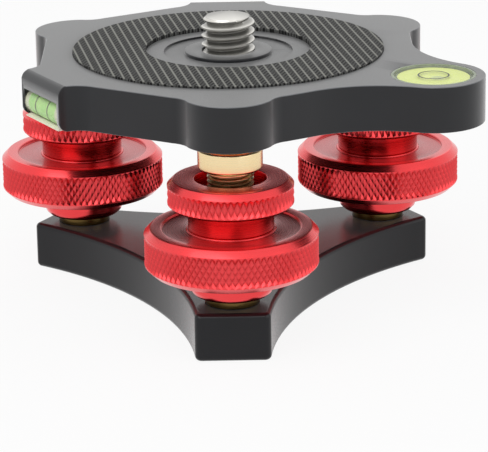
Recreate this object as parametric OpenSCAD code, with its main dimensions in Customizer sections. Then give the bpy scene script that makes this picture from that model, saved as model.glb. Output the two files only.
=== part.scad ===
// Three-wheel leveling base for a camera support.
// A scalloped top plate stands on three jack screws above a three-armed base plate.
// Turning a large knurled wheel raises or lowers its screw, and the small knurled ring above it locks it.
// Millimetres, +Z up, origin at the middle of the base plate's underside.

/* [Columns] */
// Distance from the middle to the axis of each column
column_r = 32; // [30:0.5:38]
// Travel of each jack screw, up and down from the middle
travel = 2.5; // [1:0.25:3]

/* [Base plate] */
// Thickness of the base plate
base_t = 8.6; // [7:0.1:14]
// From a column's axis to the end face of its arm
arm_overhang = 7.1; // [6.5:0.1:10]
// Width of an arm's end face
arm_w = 13; // [11:0.1:18]
// From the middle to the deepest point of each hollow side
waist = 18.4; // [14:0.1:22]
// Radius of the upright corners at the arm ends
arm_corner_r = 1.2; // [0.5:0.1:2]
// Major diameter of the tapped hole for the support below, 3/8 inch
tripod_thread_d = 9.525; // [6.35:0.005:12.7]
// Countersink at the top of the tapped hole
tripod_chamfer = 0.6; // [0.2:0.1:1.2]

/* [Top plate] */
// Thickness of the top plate
plate_t = 8.1; // [7.6:0.1:12]
// From the middle to each straight side of the top plate
plate_flat = 33.2; // [32:0.1:38]
// Radius of the lobes above the columns
column_lobe_r = 7.9; // [7.2:0.1:11]
// Radius of the hollow corners between sides and lobes
scallop_r = 4.5; // [3:0.1:6]
// From the middle to the end face of each lobe that holds a tube level
level_lobe_reach = 37.8; // [37:0.1:42]
// Width of each lobe that holds a tube level
level_lobe_w = 14.4; // [14:0.1:18]
// Rounding of the upper and lower edges of those end faces
level_lobe_round = 1.8; // [0.5:0.1:2.2]

/* [Rubber pad] */
// Outer diameter of the rubber pad
pad_d = 55.8; // [50:0.2:58]
// Diameter of the hole in the rubber pad
pad_hole_d = 29.6; // [26:0.2:36]
// Thickness of the rubber pad
pad_t = 0.7; // [0.5:0.05:1.5]
// Depth of the recess that the pad is glued into
pad_recess = 0.3; // [0.2:0.05:0.6]

/* [Camera screw] */
// Major diameter of the camera screw, 3/8 inch
camera_thread_d = 9.525; // [6.35:0.005:9.525]
// Pitch of the camera screw, 16 turns to the inch
camera_thread_pitch = 1.5875; // [1.27:0.0005:1.5875]
// Height of the screw above the pad
camera_screw_h = 5.65; // [4.5:0.05:9]
// Chamfer at the tip of the screw
camera_screw_chamfer = 0.9; // [0.4:0.1:1.2]
// Relief of the plain shank below the screw's thread
camera_shank_relief = 0.3; // [0.25:0.01:0.4]
// Diameter of the screw's head, sunk in the underside
camera_head_d = 14; // [12:0.5:18]
// Height of the screw's head
camera_head_h = 2.6; // [2:0.1:3]
// Distance across the corners of the hexagon socket in the head
camera_socket_d = 6.4; // [4:0.1:8]
// Depth of the hexagon socket
camera_socket_depth = 1.6; // [1:0.1:1.8]
// Diameter of the flange of the bush round the screw
bush_flange_d = 15.7; // [14:0.1:18]
// Thickness of that flange
bush_flange_t = 0.6; // [0.4:0.05:1]
// Diameter of the sleeve under that flange
bush_sleeve_d = 12; // [11.5:0.1:13]
// Length of that sleeve
bush_sleeve_l = 2.8; // [1.5:0.1:2.8]
// Diameter of the recess round the flange
bush_recess_d = 23.2; // [20:0.2:25]
// Depth of that recess below the pad's seat
bush_recess = 0.4; // [0.2:0.05:0.6]

/* [Round level] */
// From the middle to the round level
bullseye_reach = 40.8; // [40:0.1:46]
// Diameter of the round level
bullseye_d = 14.8; // [12:0.1:16]
// Height of the round level
bullseye_h = 4.2; // [3:0.1:6]
// Wall of the round level's cup
bullseye_wall = 1.1; // [0.8:0.05:1.5]
// Floor of the round level's cup
bullseye_floor = 0.8; // [0.5:0.05:1.2]
// Thickness of the clear lens
bullseye_lens_t = 1; // [0.6:0.05:1.2]
// Metal left round the level at its lobe
bullseye_lobe_wall = 1.6; // [1.2:0.1:3]
// Radius of the wide hollows between that lobe and the straight sides
bullseye_hollow_r = 20; // [12:0.5:24]

/* [Tube levels] */
// Diameter of a tube level
vial_d = 4.8; // [4:0.1:5]
// Length of a tube level
vial_l = 12.4; // [10:0.1:12.8]
// Wall of the clear tube
vial_wall = 0.5; // [0.3:0.05:0.7]
// Length of the plug that closes the tube
vial_plug_l = 1.2; // [0.8:0.1:2]
// Height of the tube above the plate's underside
vial_lift = 0.15; // [0:0.05:0.3]

/* [Wheels] */
// Diameter of a wheel over its knurl
wheel_d = 30; // [27:0.1:33]
// Height of a wheel's rim
wheel_h = 7.6; // [6:0.1:9]
// Chamfer at both edges of the rim
wheel_chamfer = 1.1; // [0.4:0.1:1.4]
// Diameter of the shallow dish in a wheel's top
wheel_dish_d = 23.9; // [20:0.1:24.5]
// Depth of that dish
wheel_dish = 0.5; // [0.3:0.05:0.9]
// Diameter of the raised seat under the lock ring
wheel_seat_d = 15.5; // [14:0.1:18]
// Height of that seat above the dish
wheel_seat = 0.3; // [0.2:0.05:0.6]
// Diameter of the hub below the rim
wheel_hub_d = 14.5; // [12:0.1:18]
// Height of the hub below the rim
wheel_hub_h = 4.5; // [3.5:0.1:6]
// Chamfer at the foot of the wheel's hub
wheel_hub_chamfer = 1.4; // [0.3:0.1:1.5]

/* [Wheel bearings] */
// Diameter of the brass shoulder between hub and base
shoulder_d = 9.5; // [9:0.1:12]
// Height of that shoulder
shoulder_h = 1.6; // [1:0.1:3]
// Diameter of the bearing's journal in the base
journal_d = 7.8; // [7:0.1:8.6]
// Diameter of the part of the bearing pressed into the hub
press_d = 8.9; // [8.5:0.1:9.4]
// Length of the part of the bearing pressed into the hub
press_l = 2.4; // [1.5:0.1:3]
// Thickness of the retaining ring under the base
clip_t = 0.75; // [0.5:0.05:1]
// Width of the retaining ring's rim
clip_w = 2.1; // [1.2:0.1:2.3]
// Depth of the ring's groove in the journal
clip_groove = 0.5; // [0.3:0.05:0.6]
// Depth of the pocket under the base for the ring
clip_pocket = 2.9; // [2.5:0.1:3.5]
// Opening of the ring, in degrees
clip_open = 60; // [30:5:90]

/* [Lock rings] */
// Diameter of a lock ring over its knurl
ring_d = 21.7; // [19:0.1:24]
// Height of a lock ring's head
ring_h = 4.75; // [4:0.05:7]
// Chamfer at the upper edge of the head
ring_chamfer = 1; // [0.3:0.05:1.2]
// Chamfer at the lower edge of the head
ring_under_chamfer = 0.5; // [0.2:0.05:0.8]
// Diameter of the smooth neck
neck_d = 14.8; // [13:0.1:17]
// Height of the smooth neck
neck_h = 3.95; // [3:0.05:6]
// Diameter of the pocket in the head that the collar sinks into
ring_pocket_d = 12.4; // [12:0.1:14]
// Depth of that pocket
ring_pocket = 3.7; // [2:0.1:4]

/* [Jack screws] */
// Major diameter of the jack screw's thread
jack_thread_d = 8; // [7:0.1:8.2]
// Pitch of the jack screw's thread
jack_pitch = 0.75; // [0.5:0.05:1.5]
// Bare thread between lock ring and collar
jack_thread_gap = 1.75; // [0.5:0.05:6]
// Diameter of the smooth collar
collar_d = 11.1; // [10:0.1:11.6]
// Height of the smooth collar
collar_h = 3.8; // [2:0.05:6]
// Chamfer at both edges of the collar
collar_chamfer = 0.4; // [0.2:0.05:0.6]
// Room between the collar and the top plate, for the plate's tilt
collar_room = 0.8; // [0.7:0.05:1.5]
// Diameter of the plain tail inside the wheel's bearing
tail_d = 5.2; // [4:0.1:5.4]
// Diameter of the neck between collar and ball
ball_neck_d = 4.6; // [4:0.1:4.8]
// Diameter of the stud inside the ball
ball_stud_d = 3; // [2.4:0.1:3.4]

/* [Ball joints] */
// Diameter of a ball
ball_d = 7; // [6.6:0.1:7.4]
// Height of the ball's middle above the plate's underside
ball_lift = 2.2; // [2:0.05:2.3]
// Wall of the cup over the ball
cup_wall = 0.65; // [0.5:0.05:0.7]
// Height of the threaded ring that holds the ball from below
retainer_h = 1.8; // [1.4:0.05:1.9]
// Diameter of that ring
retainer_d = 11.2; // [10.6:0.1:12]

/* [Fits] */
// Radial clearance of turning and sliding fits
run_gap = 0.05; // [0.02:0.01:0.1]
// Radial clearance of the jack screw's thread in the wheel
thread_gap = 0.1; // [0.05:0.01:0.15]
// Clearance round pressed and glued pieces
press_gap = 0.02; // [0.01:0.01:0.05]
// Clearance round the balls, for the plate's sideways shift as it tilts
ball_gap = 0.3; // [0.28:0.01:0.4]
// Clearance between a ball and its stud
stud_gap = 0.2; // [0.18:0.01:0.3]
// Room between a ball's flat and the shoulder of its stud
ball_seat_gap = 0.15; // [0.14:0.01:0.25]

/* [Hidden] */
$fn = 96;
eps = 0.5;
COLUMNS = ["front", "rear_left", "rear_right"];
COLUMN_ANGLE = [270, 150, 30];
BULLSEYE_ANGLE = 330;
VIALS = ["front", "rear"];
VIAL_ANGLE = [210, 90];
SIDE_ANGLE = 30;
PIECES = ["wheel", "wheel_bearing", "retaining_ring", "lock_ring", "jack_screw", "swivel_ball",
          "socket_cup", "socket_ring"];
VIAL_PIECES = ["vial_tube", "vial_fluid", "vial_plug"];
NODES = concat(
    ["base_plate", "top_plate", "rubber_pad", "camera_screw", "screw_bush"],
    ["bullseye_cup", "bullseye_fluid", "bullseye_lens"],
    [for (v = VIALS) for (p = VIAL_PIECES) str(v, "_", p)],
    [for (c = COLUMNS) for (p = PIECES) str(c, "_", p)]);
node = "all";

// Colours of the finishes
black = [0.09, 0.09, 0.1];
red = [0.78, 0.13, 0.14];
brass = [0.79, 0.64, 0.33];
steel = [0.75, 0.75, 0.74];
rubber = [0.16, 0.16, 0.16];
acetal = [0.9, 0.89, 0.85];
clear = [0.86, 0.92, 0.86, 0.5];
green = [0.55, 0.85, 0.45, 0.8];
yellow = [0.87, 0.93, 0.5, 0.9];

// Levels of a column, from the base plate up
z_hub = base_t + shoulder_h;
z_wheel = z_hub + wheel_hub_h;
z_wheel_top = z_wheel + wheel_h;
z_dish = z_wheel_top - wheel_dish;
z_seat = z_dish + wheel_seat;
z_ring = z_seat + run_gap;
z_head = z_ring + neck_h;
z_ring_top = z_head + ring_h;
z_collar = z_ring_top + jack_thread_gap;
z_collar_top = z_collar + collar_h;
z_plate = z_collar_top + collar_room;
z_top = z_plate + plate_t;
z_ball = z_plate + ball_lift;
z_pad_seat = z_top - pad_recess;
z_pad_top = z_pad_seat + pad_t;
z_flange = z_pad_seat - bush_recess;

// Wheel bearing and jack screw tail
stop_room = 0.25;
tail_room = 0.7;
z_press = z_hub + press_l;
z_thread_end = z_press + travel + stop_room;
z_tail = travel + tail_room;
z_clip = clip_pocket - clip_t - 2 * run_gap;
z_journal_end = z_clip - clip_t;
clip_in_r = journal_d / 2 - clip_groove + press_gap;
clip_out_r = clip_in_r + clip_w;
clip_room = 0.4;
clip_pocket_r = clip_out_r + clip_room;

// Base plate outline, each arm along +X
arm_reach = column_r + arm_overhang;
arm_tip = [arm_reach, arm_w / 2];
side_normal = [cos(60), sin(60)];
side_along = [-sin(60), cos(60)];
side_sag = arm_tip * side_normal - waist;
side_half = abs(arm_tip * side_along);
side_r = (pow(side_half, 2) + pow(side_sag, 2)) / (2 * side_sag);
side_centre = side_normal * (waist + side_r);
side_ease = 0.02;
corner_x = arm_reach - arm_corner_r;
corner_y = side_centre[1] - sqrt(pow(side_r + arm_corner_r, 2) - pow(side_centre[0] - corner_x, 2));
corner_pull = (side_centre - [corner_x, corner_y]) / (side_r + arm_corner_r);
corner_join = [corner_x, corner_y] + corner_pull * arm_corner_r;

// Ball joint
cavity_r = ball_d / 2 + ball_gap;
cup_r = cavity_r + cup_wall;
cup_seat_r = cup_r + run_gap * 2;
cup_rim = 0.3;
ball_flat_rise = 0.2;
ball_flat = ball_lift - ball_flat_rise;
z_shoulder = z_ball - ball_flat - ball_seat_gap;
stud_rise = 1.7;
z_stud_top = z_ball + stud_rise;

// Share and length by which a rounding's radius passes its depth: it meets both faces at a slight angle
edge_ease = 1.02;
corner_ease = 0.05;

// Directions across and along a straight side of the top plate, seen from a lobe along +X
side_dir = [cos(SIDE_ANGLE), sin(SIDE_ANGLE)];
side_run = [sin(SIDE_ANGLE), -cos(SIDE_ANGLE)];

// Levels and their pockets
bullseye_r = bullseye_d / 2;
bullseye_lobe_r = bullseye_r + bullseye_lobe_wall;
vial_r = vial_d / 2;
vial_u = level_lobe_reach - vial_r;
z_vial = z_plate + vial_lift + vial_r;
vial_bore_r = vial_r - vial_wall;

// Camera screw
camera_r = camera_thread_d / 2;
z_camera_head = z_plate + run_gap;
z_camera_shank = z_camera_head + camera_head_h;
z_camera_tip = z_pad_top + camera_screw_h;

// Depth of a 60 degree thread, and the flats at its crests and roots, as shares of the pitch
thread_depth = 0.61;
thread_land = 0.15;
thread_root = 0.12;

// Points of a grooved thread's outline, from the lowest crest up
function groove(r, z, p) = [
    [r, z],
    [r, z + thread_land * p],
    [r - thread_depth * p, z + (1 + thread_land - thread_root) / 2 * p],
    [r - thread_depth * p, z + (1 + thread_land + thread_root) / 2 * p]];
function thread(r, z0, z1, p) = [
    for (i = [0 : floor((z1 - z0) / p) - 1])
        for (q = groove(r, z0 + i * p, p)) q];

// Places a piece on the axis of column i
module at_column(i) {
    rotate([0, 0, COLUMN_ANGLE[i]])
        translate([column_r, 0, 0])
            children();
}

// Turns a lobe's piece, drawn along +X, to its direction
module at_lobe(angle) {
    rotate([0, 0, angle])
        children();
}

// Rounded end of an arm along +X
module arm_end() {
    translate([waist, -corner_y])
        square([arm_reach - waist, 2 * corner_y]);
    for (s = [-1, 1])
        translate([corner_x, s * corner_y])
            circle(r = arm_corner_r);
}

// Point p turned by an angle about the middle
function turned(p, angle) = [
    p[0] * cos(angle) - p[1] * sin(angle),
    p[0] * sin(angle) + p[1] * cos(angle)];

// Three arms with hollow sides between them
module base_outline() {
    difference() {
        union() {
            polygon([
                for (i = [0 : 2])
                    for (s = [-1, 1])
                        turned([corner_join[0], s * corner_join[1]], 30 + 120 * i)]);
            for (a = COLUMN_ANGLE)
                rotate(a)
                    arm_end();
        }
        for (i = [0 : 2])
            rotate(90 + 120 * i)
                translate([waist + side_r, 0])
                    circle(r = side_r + side_ease, $fn = 360);
    }
}

module base_plate() {
    color(black)
        difference() {
            linear_extrude(base_t)
                base_outline();
            for (i = [0 : 2])
                at_column(i)
                    bearing_seat();
            translate([0, 0, -eps])
                cylinder(d = tripod_thread_d, h = base_t + 2 * eps);
            translate([0, 0, base_t - tripod_chamfer])
                cylinder(r1 = tripod_thread_d / 2, r2 = tripod_thread_d / 2 + tripod_chamfer,
                         h = tripod_chamfer);
        }
}

// Bore for a wheel's bearing, with the pocket for its ring below
module bearing_seat() {
    translate([0, 0, -eps])
        cylinder(d = journal_d + 2 * run_gap, h = base_t + 2 * eps);
    translate([0, 0, -eps])
        cylinder(r = clip_pocket_r, h = clip_pocket + eps);
}

// Middle of the hollow corner of radius h beside a round lobe of radius r at distance c along +X
function round_corner(c, r, h) =
    side_dir * (plate_flat + h)
    + side_run * (c * sin(SIDE_ANGLE)
        - sqrt(pow(r + h, 2) - pow(plate_flat + h - c * cos(SIDE_ANGLE), 2)));

// Middle of the hollow corner beside a flat-ended lobe along +X
level_corner = [
    (plate_flat + scallop_r - (level_lobe_w / 2 + scallop_r) * side_dir[1]) / side_dir[0],
    level_lobe_w / 2 + scallop_r];

// Filling beside a lobe with hollow corners of radius h, out to x on the lobe's axis
module corner_fill(x, corner, h) {
    foot = corner - side_dir * h;
    polygon([[0, 0], [foot[0], -foot[1]], [corner[0], -corner[1]], [x, 0], corner, foot]);
}

// Hollow corners of radius h on both sides of a lobe
module corner_hollows(corner, h) {
    for (s = [-1, 1])
        translate([corner[0], s * corner[1]])
            circle(r = h + corner_ease);
}

module plate_outline() {
    column_corner = round_corner(column_r, column_lobe_r, scallop_r);
    bullseye_corner = round_corner(bullseye_reach, bullseye_lobe_r, bullseye_hollow_r);
    difference() {
        union() {
            rotate(SIDE_ANGLE)
                circle(r = plate_flat / cos(SIDE_ANGLE), $fn = 6);
            for (a = COLUMN_ANGLE)
                rotate(a) {
                    translate([column_r, 0])
                        circle(r = column_lobe_r);
                    corner_fill(column_r, column_corner, scallop_r);
                }
            rotate(BULLSEYE_ANGLE) {
                translate([bullseye_reach, 0])
                    circle(r = bullseye_lobe_r);
                corner_fill(bullseye_reach, bullseye_corner, bullseye_hollow_r);
            }
            for (a = VIAL_ANGLE)
                rotate(a) {
                    translate([0, -level_lobe_w / 2])
                        square([level_lobe_reach + eps, level_lobe_w]);
                    corner_fill(level_lobe_reach, level_corner, scallop_r);
                }
        }
        for (a = COLUMN_ANGLE)
            rotate(a)
                corner_hollows(column_corner, scallop_r);
        rotate(BULLSEYE_ANGLE)
            corner_hollows(bullseye_corner, bullseye_hollow_r);
        for (a = VIAL_ANGLE)
            rotate(a) {
                corner_hollows(level_corner, scallop_r);
                translate([level_lobe_reach, -plate_flat / 2])
                    square([plate_flat, plate_flat]);
            }
    }
}

// Cutter that rounds one long edge, lying along Y at the origin's outer corner
module edge_round(length) {
    translate([-level_lobe_round, 0, -level_lobe_round])
        difference() {
            translate([0, -length / 2, 0])
                cube([level_lobe_round + eps, length, level_lobe_round + eps]);
            rotate([90, 0, 0])
                cylinder(r = level_lobe_round * edge_ease, h = length + 2, center = true);
        }
}

// Slot for a tube level in the end of its lobe, open outward and below
module vial_pocket() {
    slot_l = vial_l + 2 * press_gap;
    slot_x = vial_u - vial_r - press_gap;
    slot_top = z_vial + vial_r + press_gap;
    translate([slot_x, -slot_l / 2, z_plate - eps])
        cube([level_lobe_reach - slot_x + eps, slot_l, slot_top - z_plate + eps]);
}

// Hollow for a ball, its cup and its threaded ring, open below
module ball_socket() {
    translate([0, 0, z_ball])
        sphere(r = cup_seat_r);
    translate([0, 0, z_plate])
        cylinder(r = cup_seat_r + run_gap, h = ball_lift);
    translate([0, 0, z_plate - eps])
        cylinder(d = retainer_d + 2 * press_gap, h = retainer_h + press_gap + eps);
}

module top_plate() {
    round_l = level_lobe_w + 2 * scallop_r;
    color(black)
        difference() {
            translate([0, 0, z_plate])
                linear_extrude(plate_t)
                    plate_outline();
            for (i = [0 : 2])
                at_column(i)
                    ball_socket();
            for (a = VIAL_ANGLE)
                at_lobe(a) {
                    vial_pocket();
                    translate([level_lobe_reach, 0, z_top])
                        edge_round(round_l);
                    translate([level_lobe_reach, 0, z_plate])
                        mirror([0, 0, 1])
                            edge_round(round_l);
                }
            at_lobe(BULLSEYE_ANGLE)
                translate([bullseye_reach, 0, z_top - bullseye_h])
                    cylinder(r = bullseye_r + press_gap, h = bullseye_h + eps);
            translate([0, 0, z_pad_seat])
                cylinder(d = pad_d + 2 * run_gap, h = pad_recess + eps);
            translate([0, 0, z_flange])
                cylinder(d = bush_recess_d, h = plate_t);
            translate([0, 0, z_flange - bush_sleeve_l - press_gap])
                cylinder(d = bush_sleeve_d + 2 * press_gap, h = plate_t);
            translate([0, 0, z_plate - eps])
                cylinder(d = camera_thread_d + 2 * run_gap, h = plate_t);
            translate([0, 0, z_plate - eps])
                cylinder(d = camera_head_d + 2 * run_gap, h = camera_head_h + run_gap + press_gap + eps);
        }
}

module rubber_pad() {
    color(rubber)
        translate([0, 0, z_pad_seat])
            difference() {
                cylinder(d = pad_d, h = pad_t);
                translate([0, 0, -eps])
                    cylinder(d = pad_hole_d, h = pad_t + 2 * eps);
            }
}

module camera_screw() {
    shank_r = camera_r - camera_shank_relief;
    z_thread = z_flange + bush_flange_t + camera_thread_pitch / 4;
    z_end = z_camera_tip - camera_screw_chamfer;
    color(steel)
        difference() {
            rotate_extrude()
                polygon(concat(
                    [[0, z_camera_head], [camera_head_d / 2, z_camera_head],
                     [camera_head_d / 2, z_camera_shank]],
                    [[shank_r, z_camera_shank], [shank_r, z_thread]],
                    thread(camera_r, z_thread, z_end, camera_thread_pitch),
                    [[camera_r, z_end - thread_land * camera_thread_pitch], [camera_r, z_end]],
                    [[camera_r - camera_screw_chamfer, z_camera_tip], [0, z_camera_tip]]));
            translate([0, 0, z_camera_head - eps])
                cylinder(d = camera_socket_d, h = camera_socket_depth + eps, $fn = 6);
        }
}

module screw_bush() {
    color(black)
        translate([0, 0, z_flange])
            difference() {
                union() {
                    cylinder(d = bush_flange_d, h = bush_flange_t);
                    translate([0, 0, -bush_sleeve_l])
                        cylinder(d = bush_sleeve_d, h = bush_sleeve_l + bush_flange_t);
                }
                translate([0, 0, -bush_sleeve_l - eps])
                    cylinder(d = camera_thread_d + 2 * press_gap,
                        h = bush_sleeve_l + bush_flange_t + 2 * eps);
            }
}

// Places a piece of the round level, with its floor at the origin
module at_bullseye() {
    at_lobe(BULLSEYE_ANGLE)
        translate([bullseye_reach, 0, z_top - bullseye_h])
            children();
}

module bullseye_cup() {
    color(clear)
        at_bullseye()
            difference() {
                cylinder(r = bullseye_r, h = bullseye_h);
                translate([0, 0, bullseye_floor])
                    cylinder(r = bullseye_r - bullseye_wall, h = bullseye_h);
                translate([0, 0, bullseye_h - bullseye_lens_t])
                    cylinder(r = bullseye_r - bullseye_wall / 2, h = bullseye_h);
            }
}

module bullseye_fluid() {
    color(yellow)
        at_bullseye()
            translate([0, 0, bullseye_floor])
                cylinder(r = bullseye_r - bullseye_wall - press_gap,
                         h = bullseye_h - bullseye_floor - bullseye_lens_t);
}

module bullseye_lens() {
    color(clear)
        at_bullseye()
            translate([0, 0, bullseye_h - bullseye_lens_t])
                cylinder(r = bullseye_r - bullseye_wall / 2 - press_gap, h = bullseye_lens_t);
}

// Lays a round piece along the axis of tube level i, from y0 over a length
module vial_rod(i, r, y0, length) {
    at_lobe(VIAL_ANGLE[i])
        translate([vial_u, y0, z_vial])
            rotate([-90, 0, 0])
                cylinder(r = r, h = length);
}

module vial_tube(i) {
    color(clear)
        difference() {
            vial_rod(i, vial_r, -vial_l / 2, vial_l);
            vial_rod(i, vial_bore_r, -vial_l / 2 + vial_plug_l, vial_l);
        }
}

module vial_fluid(i) {
    color(green)
        vial_rod(i, vial_bore_r - press_gap, -vial_l / 2 + vial_plug_l, vial_l - 2 * vial_plug_l);
}

module vial_plug(i) {
    color(clear)
        vial_rod(i, vial_bore_r - press_gap, vial_l / 2 - vial_plug_l, vial_plug_l);
}

module wheel() {
    r = wheel_d / 2;
    hub_r = wheel_hub_d / 2;
    bore_r = jack_thread_d / 2 + thread_gap;
    press_r = press_d / 2 + press_gap;
    color(red)
        rotate_extrude()
            polygon([
                [press_r, z_hub], [hub_r - wheel_hub_chamfer, z_hub], [hub_r, z_hub + wheel_hub_chamfer],
                [hub_r, z_wheel],
                [r - wheel_chamfer, z_wheel], [r, z_wheel + wheel_chamfer],
                [r, z_wheel_top - wheel_chamfer], [r - wheel_chamfer, z_wheel_top],
                [wheel_dish_d / 2, z_wheel_top], [wheel_dish_d / 2, z_dish],
                [wheel_seat_d / 2, z_dish], [wheel_seat_d / 2, z_seat],
                [bore_r, z_seat], [bore_r, z_press], [press_r, z_press]]);
}

module wheel_bearing() {
    bore_r = tail_d / 2 + run_gap;
    journal_r = journal_d / 2;
    groove_r = journal_r - clip_groove;
    z_shoulder_foot = base_t + run_gap;
    color(brass)
        rotate_extrude()
            polygon([
                [bore_r, z_journal_end], [journal_r, z_journal_end],
                [journal_r, z_clip - run_gap], [groove_r, z_clip - run_gap],
                [groove_r, z_clip + clip_t + run_gap], [journal_r, z_clip + clip_t + run_gap],
                [journal_r, z_shoulder_foot], [shoulder_d / 2, z_shoulder_foot],
                [shoulder_d / 2, z_hub], [press_d / 2, z_hub],
                [press_d / 2, z_press - press_gap], [bore_r, z_press - press_gap]]);
}

module retaining_ring() {
    reach = 2 * clip_out_r;
    half = clip_open / 2;
    color(steel)
        translate([0, 0, z_clip])
            linear_extrude(clip_t)
                difference() {
                    circle(r = clip_out_r);
                    circle(r = clip_in_r);
                    polygon([
                        [0, 0], [reach * cos(half), -reach * sin(half)],
                        [reach * cos(half), reach * sin(half)]]);
                }
}

module lock_ring() {
    r = ring_d / 2;
    bore_r = jack_thread_d / 2 + thread_gap;
    z_pocket = z_ring_top - ring_pocket;
    color(red)
        rotate_extrude()
            polygon([
                [bore_r, z_ring], [neck_d / 2, z_ring], [neck_d / 2, z_head],
                [r - ring_under_chamfer, z_head], [r, z_head + ring_under_chamfer],
                [r, z_ring_top - ring_chamfer], [r - ring_chamfer, z_ring_top],
                [ring_pocket_d / 2, z_ring_top], [ring_pocket_d / 2, z_pocket],
                [bore_r, z_pocket]]);
}

module jack_screw() {
    r = jack_thread_d / 2;
    collar_r = collar_d / 2;
    neck_r = ball_neck_d / 2;
    stud_r = ball_stud_d / 2;
    color(brass)
        rotate_extrude()
            polygon(concat(
                [[0, z_tail], [tail_d / 2, z_tail], [tail_d / 2, z_thread_end]],
                thread(r, z_thread_end, z_collar, jack_pitch),
                [[r - thread_depth * jack_pitch, z_collar], [collar_r - collar_chamfer, z_collar]],
                [[collar_r, z_collar + collar_chamfer], [collar_r, z_collar_top - collar_chamfer]],
                [[collar_r - collar_chamfer, z_collar_top], [neck_r, z_collar_top]],
                [[neck_r, z_shoulder], [stud_r, z_shoulder], [stud_r, z_stud_top], [0, z_stud_top]]));
}

module swivel_ball() {
    bore_r = ball_stud_d / 2 + stud_gap;
    color(steel)
        translate([0, 0, z_ball])
            difference() {
                sphere(d = ball_d);
                translate([0, 0, -ball_d - ball_flat])
                    cylinder(d = 2 * ball_d, h = ball_d);
                translate([0, 0, -ball_d])
                    cylinder(r = bore_r, h = ball_d + z_stud_top - z_ball + stud_gap);
            }
}

module socket_cup() {
    color(acetal)
        translate([0, 0, z_ball])
            difference() {
                sphere(r = cup_r);
                sphere(r = cavity_r);
                translate([0, 0, cup_rim - 2 * cup_r])
                    cylinder(r = 2 * cup_r, h = 2 * cup_r);
            }
}

module socket_ring() {
    color(brass)
        difference() {
            translate([0, 0, z_plate])
                cylinder(d = retainer_d, h = retainer_h);
            translate([0, 0, z_ball])
                sphere(r = cavity_r);
        }
}

// True when a node is to be drawn
function shown(name) = node == "all" || node == name;

if (shown("base_plate")) base_plate();
if (shown("top_plate")) top_plate();
if (shown("rubber_pad")) rubber_pad();
if (shown("camera_screw")) camera_screw();
if (shown("screw_bush")) screw_bush();
if (shown("bullseye_cup")) bullseye_cup();
if (shown("bullseye_fluid")) bullseye_fluid();
if (shown("bullseye_lens")) bullseye_lens();
for (i = [0 : 1]) {
    if (shown(str(VIALS[i], "_vial_tube"))) vial_tube(i);
    if (shown(str(VIALS[i], "_vial_fluid"))) vial_fluid(i);
    if (shown(str(VIALS[i], "_vial_plug"))) vial_plug(i);
}
for (i = [0 : 2]) {
    if (shown(str(COLUMNS[i], "_wheel"))) at_column(i) wheel();
    if (shown(str(COLUMNS[i], "_wheel_bearing"))) at_column(i) wheel_bearing();
    if (shown(str(COLUMNS[i], "_retaining_ring"))) at_column(i) retaining_ring();
    if (shown(str(COLUMNS[i], "_lock_ring"))) at_column(i) lock_ring();
    if (shown(str(COLUMNS[i], "_jack_screw"))) at_column(i) jack_screw();
    if (shown(str(COLUMNS[i], "_swivel_ball"))) at_column(i) swivel_ball();
    if (shown(str(COLUMNS[i], "_socket_cup"))) at_column(i) socket_cup();
    if (shown(str(COLUMNS[i], "_socket_ring"))) at_column(i) socket_ring();
}
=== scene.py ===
"""Looks of a three-wheel leveling base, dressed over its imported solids.

Sizes in the classes are in millimetres. Meshes are in metres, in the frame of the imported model: +Z up, with the
origin at the middle of the base plate's underside and the front column towards -Y.
"""

import logging
import math
from collections.abc import Callable, Sequence
from dataclasses import dataclass, field
from enum import Enum
from typing import NamedTuple

import bmesh
import bpy
from mathutils import Matrix, Vector


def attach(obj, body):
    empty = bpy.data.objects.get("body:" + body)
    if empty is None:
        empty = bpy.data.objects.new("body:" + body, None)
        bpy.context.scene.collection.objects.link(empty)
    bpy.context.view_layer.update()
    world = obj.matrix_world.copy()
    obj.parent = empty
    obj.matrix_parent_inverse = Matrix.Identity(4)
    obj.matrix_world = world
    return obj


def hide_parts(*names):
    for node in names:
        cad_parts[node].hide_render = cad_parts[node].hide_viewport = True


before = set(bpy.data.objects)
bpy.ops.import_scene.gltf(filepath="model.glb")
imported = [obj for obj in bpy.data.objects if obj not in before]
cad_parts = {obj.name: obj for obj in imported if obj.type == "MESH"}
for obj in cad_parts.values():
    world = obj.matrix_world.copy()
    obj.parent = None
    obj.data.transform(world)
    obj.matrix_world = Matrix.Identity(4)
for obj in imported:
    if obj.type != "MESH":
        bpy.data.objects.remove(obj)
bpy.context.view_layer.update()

LOG = logging.getLogger("leveling_base")
MM = 0.001
# Edges that turn by more than this look sharp, and only those are eased.
SHARP_DEG = 40.0
# Faces that turn by less than this are one flat face.
FLAT_DEG = 0.5
# Points this close, in millimetres, count as being at the same radius or height.
TOUCH = 0.01
# Points this close, in millimetres, are one point of a solid or thread, and of a turned shape.
WELD = 0.002
FINE_WELD = 0.0005
# Points this close to a cutting plane, in metres, lie on it.
PLANE_DIST = 1e-7
# Most values of a noise lie in this span.
NOISE_SPAN = (0.3, 0.7)

# Sizes that sub-assemblies share: reach of the columns, 3/8 inch thread, top of the upper plate, place of the
# round level.
COLUMN_REACH = 32.0
THREAD_RADIUS = 4.7625
THREAD_PITCH = 1.5875
PLATE_HIGH = 45.3
BULLSEYE = (35.3338, -20.4)

Corner = tuple[float, float, float]
Pair = tuple[float, float]
Edge = bmesh.types.BMEdge
Mesh = bmesh.types.BMesh
Tree = bpy.types.NodeTree
Node = bpy.types.Node
Socket = bpy.types.NodeSocket


class Spot(NamedTuple):
    """A place round the middle: name in the model, direction, and how far its knurls are turned, in degrees."""

    label: str
    angle_deg: float
    spin_deg: float = 0.0


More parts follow.
